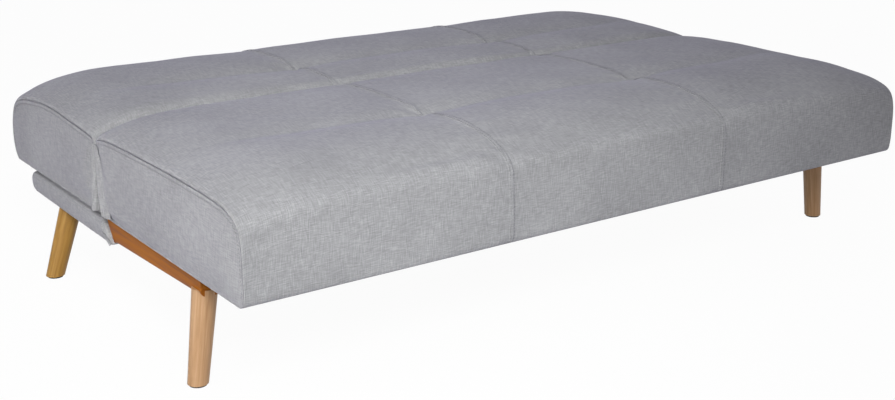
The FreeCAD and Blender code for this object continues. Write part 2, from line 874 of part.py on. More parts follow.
for word, side in SIDES:
    hinge_bracket(word, side)
    back_arm, back_x = hinge_arm(side, back_arm_outer, 1)
    drop = float(size.arm_drop)
    ear_line = [(drop / 2, -drop / 2), (pawl_y, pawl_z)]
    ear = strap(ear_line, size.strap_width, plate, back_x, pivot_y, pivot_z)
    back_arm = back_arm.fuse([ear]).cut(bore(size.pawl_pin_diameter / 2, pawl_y, pawl_z))
    steel(word, "back_arms", back_arm)
    seat_arm, seat_x = hinge_arm(side, seat_arm_outer, -1)
    sector = ratchet_sector(seat_x).cut(bore(pin_bore_radius))
    steel(word, "seat_arms", seat_arm.fuse([sector]))
    pawl_set(word, side, seat_x)
    pivot_pin(word, side)
for name, made in steel_pairs.items():
    repeated(name, made)

# Gussets: gathered fabric over the joint's ends, in pleats that fan out below the pivot


def gusset(name, word, side, facing):
    """One slab's half of a gusset, which lies on the end of its cushion."""
    skin = float(half_length)
    inner = float(size.crease_gap) / 2
    top_pleat = (float(size.gusset_top_width) / 2 - inner) / pleat_count
    foot_pleat = (float(size.gusset_foot_width) / 2 - inner) / pleat_count
    fold = float(size.gusset_fold)
    wires = []
    for z, pleat, height in (
        (pivot_z - 6, top_pleat, fold * top_pleat / foot_pleat),
        (float(size.slab_bottom) + 6, foot_pleat, fold),
    ):
        near = pivot_y + facing * inner
        points = [Vector(side * skin, near, z)]
        for step in range(2 * pleat_count + 1):
            bulge = 1 + (height if step % 2 else 0)
            y = near + facing * pleat * step / 2
            points.append(Vector(side * (skin + bulge), y, z))
        points.append(Vector(side * skin, near + facing * pleat * pleat_count, z))
        wires.append(Part.makePolygon(points + points[:1]))
    return solid(f"{name}_gusset_{word}", Part.makeLoft(wires, True, True))


for name, facing in (("seat", -1), ("back", 1)):
    repeated(f"{name}_gussets", [gusset(name, word, side, facing) for word, side in SIDES])

doc.recompute()

failed = [item.Label for item in doc.Objects if {"Invalid", "Error"} & set(item.State)]
for node in nodes:
    if node.Shape.isNull() or not node.Shape.isValid():
        failed.append(node.Label)
if failed:
    raise RuntimeError("failed: " + ", ".join(failed))

os.makedirs("parts", exist_ok=True)
for node in nodes:
    node.Shape.exportStep(f"parts/{node.Label}.step")
print(len(nodes), "sub-parts written")
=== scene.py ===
import math

import bpy
import numpy as np
from mathutils import Matrix, Vector, noise


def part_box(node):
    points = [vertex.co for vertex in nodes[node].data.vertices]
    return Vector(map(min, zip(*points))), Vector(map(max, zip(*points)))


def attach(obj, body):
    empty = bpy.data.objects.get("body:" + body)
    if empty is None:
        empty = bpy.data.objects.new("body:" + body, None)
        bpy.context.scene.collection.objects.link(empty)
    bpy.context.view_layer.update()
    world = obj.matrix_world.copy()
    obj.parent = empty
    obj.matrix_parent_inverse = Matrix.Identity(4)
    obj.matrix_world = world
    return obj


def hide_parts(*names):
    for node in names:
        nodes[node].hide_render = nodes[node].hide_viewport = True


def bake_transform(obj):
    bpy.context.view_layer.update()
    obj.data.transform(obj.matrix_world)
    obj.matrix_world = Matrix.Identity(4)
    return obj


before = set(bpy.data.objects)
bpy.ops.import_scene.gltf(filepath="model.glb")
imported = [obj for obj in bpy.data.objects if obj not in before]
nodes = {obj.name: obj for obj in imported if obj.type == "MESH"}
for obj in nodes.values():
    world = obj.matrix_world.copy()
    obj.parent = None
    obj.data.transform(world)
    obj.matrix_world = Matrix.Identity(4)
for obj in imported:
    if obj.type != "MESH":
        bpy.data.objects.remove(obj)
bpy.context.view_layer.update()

sceneRoot = bpy.context.scene.collection
print("frame loaded")

# lengths are metres; the crease between the slabs runs along X at creaseY
creaseY = 0.058
halfLength = 0.9
slabBottom = 0.226
sides = (("left", -1), ("right", 1))
waveUnit = math.pi / 10  # a wave texture of scale 1 repeats at this length


def hexColour(code, alpha=1):  # an sRGB hex value as the linear colour that a shader takes
    channels = [int(code[i:i + 2], 16) / 255 for i in (1, 3, 5)]
    linear = [c / 12.92 if c <= 0.04045 else ((c + 0.055) / 1.055) ** 2.4 for c in channels]
    return (*linear, alpha)


def addNode(tree, kind, inputs=None, stops=None, **settings):
    node = tree.nodes.new("ShaderNode" + kind)
    for name, value in settings.items():
        setattr(node, name, value)
    for name, value in (inputs or {}).items():
        if isinstance(value, bpy.types.NodeSocket):
            tree.links.new(value, node.inputs[name])
        else:
            node.inputs[name].default_value = value
    for index, (place, colour) in enumerate(stops or []):
        ramp = node.color_ramp.elements
        stop = ramp[index] if index < 2 else ramp.new(place)
        stop.position, stop.color = place, colour
    return node


def newMaterial(name, **surface):
    material = bpy.data.materials.new(name)
    material.use_nodes = True
    tree = material.node_tree
    shader = tree.nodes["Principled BSDF"]
    for socket, value in surface.items():
        shader.inputs[socket.replace("_", " ")].default_value = value
    return material, tree, shader


# Polyester linen-look upholstery, a plain weave of slubbed melange yarn. The eye sees short
# lighter and darker dashes that cross each other, with a soft felt-like edge to the light.
weave = {
    "threadMm": 1.9,  # real threads are about 0.9 mm and wouldn't show from here
    "slubLengthMm": 24,
    "slubWidthMm": 1.1,
    "cloudMm": 190,
    "turn": 0.6,
    "dark": "#7a7a7b",
    "middle": "#949495",
    "light": "#afafb0",
}


def fabricMaterial(name):
    material, tree, shader = newMaterial(
        name, Roughness=0.9, Specular_IOR_Level=0.15,
        Sheen_Weight=0.15, Sheen_Roughness=0.5, Sheen_Tint=hexColour("#d6d0ff"),
    )
    cloth = addNode(tree, "Attribute", attribute_name="weaveMm").outputs["Vector"]
    long, thin = 1 / weave["slubLengthMm"], 1 / weave["slubWidthMm"]
    slubs = []
    for scale in ((long, thin, 1), (thin, long, 1)):
        run = addNode(  # turned a little, so that no two slubs end in line
            tree, "Mapping", {"Vector": cloth, "Scale": scale, "Rotation": (0, 0, weave["turn"])}
        )
        slub = addNode(
            tree, "TexNoise",
            {"Vector": run.outputs["Vector"], "Scale": 1.0, "Detail": 1.5, "Roughness": 0.5},
        )
        slubs.append(slub.outputs["Fac"])
    both = addNode(tree, "Mix", {0: 0.5, 2: slubs[0], 3: slubs[1]}, data_type="FLOAT")
    cloud = addNode(
        tree, "TexNoise", {"Vector": cloth, "Scale": 1 / weave["cloudMm"], "Detail": 2.0}
    ).outputs["Fac"]
    mixed = addNode(tree, "Mix", {0: 0.16, 2: both.outputs[0], 3: cloud}, data_type="FLOAT")
    tones = [
        (0.34, hexColour(weave["dark"])),
        (0.66, hexColour(weave["light"])),
        (0.5, hexColour(weave["middle"])),
    ]
    ramp = addNode(tree, "ValToRGB", {"Fac": mixed.outputs[0]}, stops=tones)
    tree.links.new(ramp.outputs["Color"], shader.inputs["Base Color"])
    threads = []
    for direction in ("X", "Y"):
        wave = addNode(
            tree, "TexWave",
            {"Vector": cloth, "Scale": waveUnit / weave["threadMm"], "Distortion": 1.2,
             "Detail": 1.0, "Detail Scale": 0.6},
            bands_direction=direction,
        )
        threads.append(wave.outputs["Fac"])
    crossed = addNode(tree, "Mix", {0: 0.5, 2: threads[0], 3: threads[1]}, data_type="FLOAT")
    height = addNode(
        tree, "Mix", {0: 0.75, 2: crossed.outputs[0], 3: both.outputs[0]}, data_type="FLOAT"
    )
    bump = addNode(
        tree, "Bump", {"Height": height.outputs[0], "Strength": 0.3, "Distance": 0.0005}
    )
    tree.links.new(bump.outputs["Normal"], shader.inputs["Normal"])
    return material


upholstery = fabricMaterial("linenLookPolyester")

# Spun polyester thread, a shade darker than the cloth and slightly shiny where it is pulled tight
threadMaterial, threadTree, threadShader = newMaterial(
    "spunPolyesterThread", Roughness=0.55, Base_Color=hexColour("#6c6b70")
)
threadPlace = addNode(threadTree, "TexCoord").outputs["Object"]
plyMm = 1.1
threadTwist = addNode(
    threadTree, "TexNoise", {"Vector": threadPlace, "Scale": 1000 / plyMm, "Detail": 2.0}
)
threadTone = addNode(
    threadTree, "ValToRGB", {"Fac": threadTwist.outputs["Fac"]},
    stops=[(0.35, hexColour("#5d5c61")), (0.65, hexColour("#86858b"))],
)
threadTree.links.new(threadTone.outputs["Color"], threadShader.inputs["Base Color"])


grain = {
    "ringRun": 26,  # how many times longer than wide a ring's streak is
    "fibreMm": 1.1,  # real pores are about 0.1 mm wide and wouldn't show from here
    "fibreLengthMm": 55,
}


def woodMaterial(name, tones, ringMm, roughness, along, splay=0.0, gloss=0.3):
    # solid timber: long fibres and slow growth rings along the piece, closed end grain at its ends
    material, tree, shader = newMaterial(
        name, Roughness=roughness, Coat_Weight=gloss / 4, Coat_Roughness=0.3,
        Specular_IOR_Level=gloss,
    )
    place = addNode(tree, "TexCoord").outputs["Object"]
    if splay:  # the legs lean outward, and so does their grain
        parts = addNode(tree, "SeparateXYZ", {"Vector": place})
        outward = addNode(tree, "Math", {0: parts.outputs["X"]}, operation="ABSOLUTE")
        leaned = addNode(
            tree, "Math", {0: parts.outputs["Z"], 1: splay, 2: outward.outputs[0]},
            operation="MULTIPLY_ADD",
        )
        hand = addNode(tree, "Math", {0: parts.outputs["X"]}, operation="SIGN")
        further = addNode(
            tree, "Math", {0: hand.outputs[0], 1: 3.0, 2: parts.outputs["Z"]},
            operation="MULTIPLY_ADD",
        )
        place = addNode(
            tree, "CombineXYZ",
            {"X": leaned.outputs[0], "Y": parts.outputs["Y"], "Z": further.outputs[0]},
        ).outputs["Vector"]
    ringScale = [1000 / ringMm] * 3
    ringScale[along] = 1000 / (ringMm * grain["ringRun"])
    ringPlace = addNode(tree, "Mapping", {"Vector": place, "Scale": ringScale}).outputs["Vector"]
    rings = addNode(
        tree, "TexNoise", {"Vector": ringPlace, "Scale": 1.0, "Detail": 2.0, "Distortion": 0.6}
    )
    fibreScale = [1000 / grain["fibreMm"]] * 3
    fibreScale[along] = 1000 / grain["fibreLengthMm"]
    fibrePlace = addNode(tree, "Mapping", {"Vector": place, "Scale": fibreScale}).outputs["Vector"]
    fibres = addNode(
        tree, "TexNoise", {"Vector": fibrePlace, "Scale": 1.0, "Detail": 3.0, "Roughness": 0.6}
    )
    mixed = addNode(
        tree, "Mix", {0: 0.34, 2: rings.outputs["Fac"], 3: fibres.outputs["Fac"]},
        data_type="FLOAT",
    )
    stops = [(0.3, hexColour(tones[0])), (0.7, hexColour(tones[2])), (0.5, hexColour(tones[1]))]
    ramp = addNode(tree, "ValToRGB", {"Fac": mixed.outputs[0]}, stops=stops)
    tree.links.new(ramp.outputs["Color"], shader.inputs["Base Color"])
    worn = addNode(
        tree, "ValToRGB", {"Fac": rings.outputs["Fac"]},
        stops=[(0.3, (roughness - 0.06,) * 3 + (1,)), (0.7, (roughness + 0.08,) * 3 + (1,))],
    )
    tree.links.new(worn.outputs["Color"], shader.inputs["Roughness"])
    bump = addNode(
        tree, "Bump", {"Height": fibres.outputs["Fac"], "Strength": 0.2, "Distance": 0.0003}
    )
    tree.links.new(bump.outputs["Normal"], shader.inputs["Normal"])
    return material


# Stained beech rail, satin lacquer: orange brown, with dark fine pores
railWood = woodMaterial(
    "stainedBeechLacquered", ("#743c08", "#8f520c", "#a26212"), 9, 0.5, 1, gloss=0.1
)
# Turned legs in the same lacquer over paler wood: honey at the rear, light tan in front
frontLegWood = woodMaterial(
    "turnedBeechLightLacquer", ("#926e4a", "#a8835f", "#b89572"), 8, 0.5, 2, splay=0.13
)
rearLegWood = woodMaterial(
    "turnedBeechHoneyLacquer", ("#7e591f", "#987030", "#aa8342"), 8, 0.5, 2, splay=0.33
)
# Sawn softwood and plywood inside: dry and matte, with broad pale growth rings
frameTimber = woodMaterial("sawnPine", ("#b98f5b", "#cfa876", "#dcbb8c"), 16, 0.75, 0)

# Powder-coated steel strip: even black with a fine orange-peel skin
steelCoat, steelTree, steelShader = newMaterial(
    "powderCoatedSteel", Roughness=0.45, Base_Color=hexColour("#26272a")
)
steelPlace = addNode(steelTree, "TexCoord").outputs["Object"]
peelMm = 1.4
peel = addNode(
    steelTree, "TexNoise", {"Vector": steelPlace, "Scale": 1000 / peelMm, "Detail": 2.0}
)
peelTone = addNode(
    steelTree, "ValToRGB", {"Fac": peel.outputs["Fac"]},
    stops=[(0.4, hexColour("#222326")), (0.6, hexColour("#2c2d30"))],
)
steelTree.links.new(peelTone.outputs["Color"], steelShader.inputs["Base Color"])
peelBump = addNode(
    steelTree, "Bump", {"Height": peel.outputs["Fac"], "Strength": 0.15, "Distance": 0.0002}
)
steelTree.links.new(peelBump.outputs["Normal"], steelShader.inputs["Normal"])

# Zinc-plated steel pins and screws: bright grey with a slight yellow cast and soft streaks
zincPlate, zincTree, zincShader = newMaterial("zincPlatedSteel", Roughness=0.32, Metallic=1.0)
zincPlace = addNode(zincTree, "TexCoord").outputs["Object"]
streakMm = 3.8
zincCloud = addNode(
    zincTree, "TexNoise", {"Vector": zincPlace, "Scale": 1000 / streakMm, "Detail": 3.0}
)
zincTone = addNode(
    zincTree, "ValToRGB", {"Fac": zincCloud.outputs["Fac"]},
    stops=[(0.35, hexColour("#a9a79d")), (0.65, hexColour("#c9c8c0"))],
)
zincTree.links.new(zincTone.outputs["Color"], zincShader.inputs["Base Color"])

# Spunbond polypropylene under the slabs: dull black felt with a pressed dot pattern
dustCloth, dustTree, dustShader = newMaterial("spunbondPolypropylene", Roughness=0.95)
dustPlace = addNode(dustTree, "TexCoord").outputs["Object"]
dotMm = 3.0  # real dots lie about half as far apart
dots = addNode(dustTree, "TexVoronoi", {"Vector": dustPlace, "Scale": 1000 / dotMm})
dustTone = addNode(
    dustTree, "ValToRGB", {"Fac": dots.outputs["Distance"]},
    stops=[(0.1, hexColour("#1b1b1d")), (0.5, hexColour("#2b2b2e"))],
)
dustTree.links.new(dustTone.outputs["Color"], dustShader.inputs["Base Color"])
dustBump = addNode(
    dustTree, "Bump", {"Height": dots.outputs["Distance"], "Strength": 0.4, "Distance": 0.0003}
)
dustTree.links.new(dustBump.outputs["Normal"], dustShader.inputs["Normal"])

# Elastic jute webbing woven round rubber cores: charcoal ribs across the strap
webbing, webTree, webShader = newMaterial("elasticJuteWebbing", Roughness=0.85)
webPlace = addNode(webTree, "TexCoord").outputs["Object"]
ribMm = 4
ribs = addNode(
    webTree, "TexWave",
    {"Vector": webPlace, "Scale": 1000 * waveUnit / ribMm, "Distortion": 0.4},
    bands_direction="Y",
)
webTone = addNode(
    webTree, "ValToRGB", {"Fac": ribs.outputs["Fac"]},
    stops=[(0.2, hexColour("#2a2622")), (0.8, hexColour("#4a433b"))],
)
webTree.links.new(webTone.outputs["Color"], webShader.inputs["Base Color"])

# Moulded rubber glides and buffers: dark grey, matte, slightly mottled
rubber, rubberTree, rubberShader = newMaterial("mouldedRubber", Roughness=0.8)
rubberPlace = addNode(rubberTree, "TexCoord").outputs["Object"]
mottleMm = 2.5
mottle = addNode(
    rubberTree, "TexNoise", {"Vector": rubberPlace, "Scale": 1000 / mottleMm, "Detail": 3.0}
)
rubberTone = addNode(
    rubberTree, "ValToRGB", {"Fac": mottle.outputs["Fac"]},
    stops=[(0.3, hexColour("#1d1d1e")), (0.7, hexColour("#2a2a2b"))],
)
rubberTree.links.new(rubberTone.outputs["Color"], rubberShader.inputs["Base Color"])
print("materials made")


def smoothStep(value):
    t = np.clip(value, 0, 1)
    return t * t * (3 - 2 * t)


def makePiece(name, points, faces, material, cloth=None):
    mesh = bpy.data.meshes.new(name)
    mesh.from_pydata([tuple(p) for p in points], [], faces)
    mesh.update()
    mesh.shade_smooth()
    mesh.materials.append(material)
    if cloth is not None:  # the cloth's own place in mm, per face corner
        layer = mesh.attributes.new("weaveMm", "FLOAT_VECTOR", "CORNER")
        layer.data.foreach_set("vector", np.asarray(cloth, np.float32).ravel())
    piece = bpy.data.objects.new(name, mesh)
    sceneRoot.objects.link(piece)
    return piece


def cubicWeights(fine, coarse):  # rows of weights that carry coarse samples to fine places
    weights = np.zeros((len(fine), len(coarse)))
    last = len(coarse) - 1
    for row, value in enumerate(fine):
        k = int(np.clip(np.searchsorted(coarse, value) - 1, 0, last - 1))
        t = (value - coarse[k]) / (coarse[k + 1] - coarse[k])
        taps = (
            (k - 1, (-t + 2 * t * t - t ** 3) / 2),
            (k, (2 - 5 * t * t + 3 * t ** 3) / 2),
            (k + 1, (t + 4 * t * t - 3 * t ** 3) / 2),
            (k + 2, (-t * t + t ** 3) / 2),
        )
        for index, weight in taps:
            weights[row, int(np.clip(index, 0, last))] += weight
    return weights


def knotRun(counts):  # a place on the outline for each row, counted in knots
    runs = [[k + step / count for step in range(count)] for k, count in enumerate(counts)]
    return np.concatenate(runs + [[len(counts)]])


# A slab's outline across the bed as (distance from the crease, height) in mm, where its crown
# is full and at its end seam. Both lists have the same knots in the same order.
seatShape = {
    "facing": -1, "depth": 666, "tuft": 354,
    "full": [(18, 229.5), (15, 226.4), (8, 226), (3, 230), (2, 260), (2, 330), (2, 378), (3, 402),
             (9, 424), (24, 436), (50, 442), (100, 445), (182, 447), (260, 447), (336, 447),
             (410, 448), (474, 448), (513, 446), (554, 440), (589, 431), (616, 420), (639, 408),
             (654, 394), (662, 376), (665, 345), (666, 300), (666, 262), (665, 240), (660, 230),
             (651, 226), (646, 229.5)],
    "end": [(18, 229.5), (15, 226.4), (8, 226), (3, 230), (2, 260), (2, 330), (3, 370), (6, 384),
            (14, 390), (30, 394), (53, 398), (100, 401), (182, 403), (260, 404), (336, 405),
            (410, 405), (474, 404), (513, 403.5), (554, 402), (589, 399), (616, 394), (639, 386),
            (654, 374), (662, 357), (666, 330), (667, 292), (667, 260), (665, 240), (660, 230),
            (651, 226), (646, 229.5)],
}
backShape = {
    "facing": 1, "depth": 550, "tuft": 204,
    "full": [(18, 229.5), (15, 226.4), (8, 226), (3, 230), (2, 260), (2, 330), (2, 378), (3, 402),
             (9, 426), (22, 437), (42, 442), (72, 444), (110, 446), (160, 447), (210, 447),
             (270, 448), (330, 449), (380, 448), (425, 445), (462, 438), (492, 427), (516, 411),
             (532, 392), (542, 368), (548, 338), (550, 300), (548, 270), (541, 244), (529, 230.5),
             (519, 226), (500, 229.5)],
    "end": [(18, 229.5), (15, 226.4), (8, 226), (3, 230), (2, 260), (2, 330), (3, 370), (5, 382),
            (11, 388), (24, 391), (48, 393), (72, 395), (110, 397), (160, 400), (210, 403),
            (270, 405), (330, 403), (380, 397), (425, 391), (462, 384), (492, 375), (516, 362),
            (532, 347), (542, 328), (548, 308), (550, 284), (548, 262), (541, 242), (529, 230.5),
            (519, 226), (500, 229.5)],
}
upholstering = {
    "crownRun": 0.2,  # how far from an end the crown is full
    "seamX": 0.3,  # the two panel seams, each side of the middle
    "topFrom": 0.36, "topRun": 0.04,  # the height where the top's own detail begins
    "channelDepth": 0.010, "channelReach": 0.031,
    "channelEnd": 0.86, "channelFade": 0.25,  # the channel runs out before the slab's ends
    "tuftDepth": 0.0205,
    "tuftReach": 0.1,  # how far along the channel a tuft pulls it down
    "pitDepth": 0.004, "pitReach": 0.011,  # the small hollow under a tuft's stitches
    "pullFolds": 7, "pullHeight": 0.0012, "pullFrom": 0.035, "pullRun": 0.03,
    "rounding": 0.006,  # no valley is sharper than this
    "seamDepth": 0.0035, "seamReach": 0.022,
    "panelPuff": 0.005,
    "stripHalf": 0.005,  # half the width between a seam's two rows of stitches
    "stripRise": 0.0022,
    "stitchInset": 0.0008, "stitchDepth": 0.0007, "stitchWide": 0.0011,
    "skinFrom": 0.2275, "creaseClear": 0.004,  # seams run only above and beyond these
    "endHem": 0.009,  # from an end seam to its row of topstitching
    "hemAt": 0.0045, "hemWide": 0.0022, "hemRise": 0.0005,
    "grooveWide": 0.0018, "grooveDepth": 0.0006,
    "endBulge": 0.005,
    "broadRipple": 0.16, "broadHeight": 0.0022,  # slow unevenness of the stuffed cloth
    "smallRipple": 0.06, "smallHeight": 0.0007,
}
slabMesh = {
    "rowMm": 6.5, "channelRowMm": 3.4, "channelWithinMm": 80,  # rows lie closer at the channel
    "columnStep": 0.009, "seamStep": 0.0015, "seamWithin": 0.0135,
    "endInsets": (0, 0.0015, 0.003, 0.0045, 0.0065, 0.009, 0.0125),
    "underRun": 0.62,  # how far the cloth runs across the underside, which the last faces close
}
# an end panel's rings of points follow its seam inward, then close on a line along its middle
capping = {
    "lineZ": 0.312, "lineInset": 0.09, "lineFlat": 0.02,
    "followTo": 0.042, "followShare": 0.46,  # the last ring that keeps its distance from the seam
    "runs": (0.0015, 0.003, 0.0045, 0.006, 0.0075, 0.009, 0.0105, 0.0125, 0.016, 0.021, 0.027,
             0.034, 0.042),
    "shares": (0.5, 0.56, 0.62, 0.69, 0.76, 0.83, 0.9, 0.96),
    "flangeAt": 0.0048, "flangeRise": 0.0006, "topstitchDepth": 0.0011,
    "tuck": 0.011, "tuckRun": 0.016,  # the panel sinks in beside the crease
    "foldTop": 0.386, "folds": 22, "foldHeight": 0.0017,  # folds that fan out below the crease
}
clothSim = {
    "panelSteps": 30,  # columns of the coarse copy on each panel
    "aroundMm": 17,
    "heldBelow": 0.24, "creaseHeldTo": 0.39,  # heights that stay pinned
    "pressure": 4.0, "stiffness": 20, "frames": 20,
    "cap": 0.007, "kept": 0.6,  # the swell is held to this, and this share of it is used
}


def outline(knots, perSegment):
    points = np.array(knots, float) / 1000
    count = len(points)
    rows = []
    for k, steps in enumerate(perSegment):
        p0, p1 = points[max(k - 1, 0)], points[k]
        p2, p3 = points[min(k + 1, count - 1)], points[min(k + 2, count - 1)]
        for step in range(steps):
            t = step / steps
            rows.append(0.5 * (2 * p1 + (p2 - p0) * t + (2 * p0 - 5 * p1 + 4 * p2 - p3) * t * t
                               + (3 * p1 - p0 - 3 * p2 + p3) * t ** 3))
    rows.append(points[-1])
    return np.array(rows)


def crownAt(x):
    run = np.clip((halfLength - np.abs(x)) / upholstering["crownRun"], 0, 1)
    return np.sqrt(1 - (1 - run) ** 2)


def ripple(x, y, seed, size):  # slow unevenness of stuffed cloth, the same on each run
    return noise.noise(Vector((x / size, y / size, seed)))


def slabGrid(shape, perSegment, along):  # points of a slab's skin, rows round it, columns along X
    full, end = outline(shape["full"], perSegment), outline(shape["end"], perSegment)
    crown = crownAt(along)[None, :, None]
    across = end[:, None, :] * (1 - crown) + full[:, None, :] * crown
    distance, height = across[..., 0], across[..., 1]
    x = np.broadcast_to(along[None, :], distance.shape)
    under = (distance > 0.0155) & (distance < shape["depth"] / 1000 - 0.0145) & (height < 0.2297)
    lip = smoothStep((halfLength - np.abs(x) - 0.014) / 0.004)
    height = np.where(under, slabBottom + (height - slabBottom) * lip, height)
    return np.stack([x, creaseY + shape["facing"] * distance, height], -1)


def skinNormals(grid):
    alongX = np.gradient(grid, axis=1)
    around = np.gradient(grid, axis=0)
    normal = np.cross(around, alongX)
    normal /= np.linalg.norm(normal, axis=-1, keepdims=True) + 1e-12
    upward = normal[len(normal) // 3, grid.shape[1] // 2, 2]
    return normal if upward > 0 else -normal


def sewnDetail(shape, grid):  # channel, tufts, panel seams and slow ripples
    u = upholstering
    normal = skinNormals(grid)
    x, y, z = grid[..., 0], grid[..., 1], grid[..., 2]
    distance = (y - creaseY) * shape["facing"]
    off = distance - shape["tuft"] / 1000
    top = smoothStep((z - u["topFrom"]) / u["topRun"])
    fade = smoothStep((u["channelEnd"] - np.abs(x)) / u["channelFade"])
    valley = np.exp(-(np.sqrt(off ** 2 + u["rounding"] ** 2) / u["channelReach"]) ** 1.25)
    pulls = sum(
        np.exp(-np.sqrt((x - side * u["seamX"]) ** 2 + u["rounding"] ** 2) / u["tuftReach"])
        for side in (-1, 1)
    )
    depth = u["channelDepth"] + (u["tuftDepth"] - u["channelDepth"]) * np.clip(pulls, 0, 1)
    move = -depth * valley * top * fade
    skin = smoothStep((z - u["skinFrom"]) / 0.004)
    skin *= smoothStep((distance - u["creaseClear"]) / 0.01)
    for side in (-1, 1):
        fromSeam = x - side * u["seamX"]
        reach = np.hypot(fromSeam / 1.2, off)
        move -= u["pitDepth"] * np.exp(-(reach / u["pitReach"]) ** 1.5) * top
        folds = np.cos(u["pullFolds"] * np.arctan2(off, fromSeam) + side)
        folds *= np.exp(-((reach - u["pullFrom"]) / u["pullRun"]) ** 2)
        move += u["pullHeight"] * folds * smoothStep(reach / 0.012) * top
        seam = np.abs(fromSeam)
        move -= u["seamDepth"] * np.exp(-(seam / u["seamReach"]) ** 1.2) * skin
        move += u["stripRise"] * smoothStep((u["stripHalf"] + 0.0012 - seam) / 0.0016) * skin
        stitched = np.exp(-((seam - u["stripHalf"] + u["stitchInset"]) / u["stitchWide"]) ** 2)
        move -= u["stitchDepth"] * stitched * skin
    outerHalf = (halfLength - u["seamX"]) / 2
    panel = np.abs(np.abs(x) - u["seamX"] - outerHalf) / outerHalf
    panel = np.where(np.abs(x) < u["seamX"], np.abs(x) / u["seamX"], panel)
    move += u["panelPuff"] * (1 - np.clip(panel, 0, 1) ** 2.5) * top
    fromEnd = halfLength - np.abs(x)
    hem = np.exp(-((fromEnd - u["hemAt"]) / u["hemWide"]) ** 2) * u["hemRise"]
    hem -= np.exp(-(fromEnd / u["grooveWide"]) ** 2) * u["grooveDepth"]
    move += hem * smoothStep((z - 0.235) / 0.01)
    uneven = np.array([
        [ripple(px, py + pz, 3.1 + shape["depth"], u["broadRipple"]) * u["broadHeight"]
         + ripple(px, py + pz, 8.7, u["smallRipple"]) * u["smallHeight"] for px, py, pz in row]
        for row in grid
    ])
    live = smoothStep((z - 0.235) / 0.03) * smoothStep(fromEnd / 0.03)
    move += uneven * live
    return grid + normal * move[..., None]


def capRings(edge, side, shape, runs, shares=()):  # runs in metres, shares of the way inward
    u, c = upholstering, capping
    distance = (edge[:, 1] - creaseY) * shape["facing"]
    middle = np.clip(distance, c["lineInset"], shape["depth"] / 1000 - c["lineInset"])
    lineHeight = c["lineZ"] + c["lineFlat"] * (edge[:, 2] - c["lineZ"])
    core = np.stack([edge[:, 0], creaseY + shape["facing"] * middle, lineHeight], -1)
    lengths = np.linalg.norm(core - edge, axis=1)
    ways = [np.minimum(run / lengths, run / c["followTo"] * c["followShare"]) for run in runs]
    ways += [share + 0 * lengths for share in shares]
    rings = []
    for way in ways:
        ring = edge + (core - edge) * way[:, None]
        inset = way * lengths
        d, z = (ring[:, 1] - creaseY) * shape["facing"], ring[:, 2]
        swell = u["endBulge"] * smoothStep((inset - 0.002) / 0.075)
        seen = smoothStep((z - 0.24) / 0.02) * smoothStep((d - 0.012) / 0.03)
        flange = np.exp(-((inset - c["flangeAt"]) / 0.0022) ** 2) * c["flangeRise"]
        stitched = np.exp(-((inset - u["endHem"]) / 0.0014) ** 2) * c["topstitchDepth"]
        swell += (flange - stitched) * seen
        under = smoothStep((0.392 - z) / 0.05)
        swell -= c["tuck"] * np.exp(-(d / c["tuckRun"]) ** 1.6) * under
        drop = np.maximum(c["foldTop"] - z, 0.001)
        fan, reach = np.arctan2(d, drop), np.hypot(d, drop)
        pull = np.exp(-(fan / 0.6) ** 2) * under * smoothStep(d / 0.014) * smoothStep(reach / 0.03)
        pull *= smoothStep((0.3 - reach) / 0.15)
        swell += np.sin(fan * c["folds"] + 9 * z) * c["foldHeight"] * pull
        ring[:, 0] = side * (halfLength + swell)
        rings.append(ring)
    return rings


def alongPlaces():  # X of the columns, close together at seams and ends
    seamX, step, within = upholstering["seamX"], slabMesh["columnStep"], slabMesh["seamWithin"]
    places = [p for p in np.arange(-halfLength, halfLength + step / 2, step)
              if abs(abs(p) - seamX) > within + 0.0005 and abs(p) < halfLength - 0.015]
    for side in (-1, 1):
        places += list(side * seamX + np.arange(-within, within + 0.0001, slabMesh["seamStep"]))
        places += [side * (halfLength - inset) for inset in slabMesh["endInsets"]]
    return np.array(sorted(places))


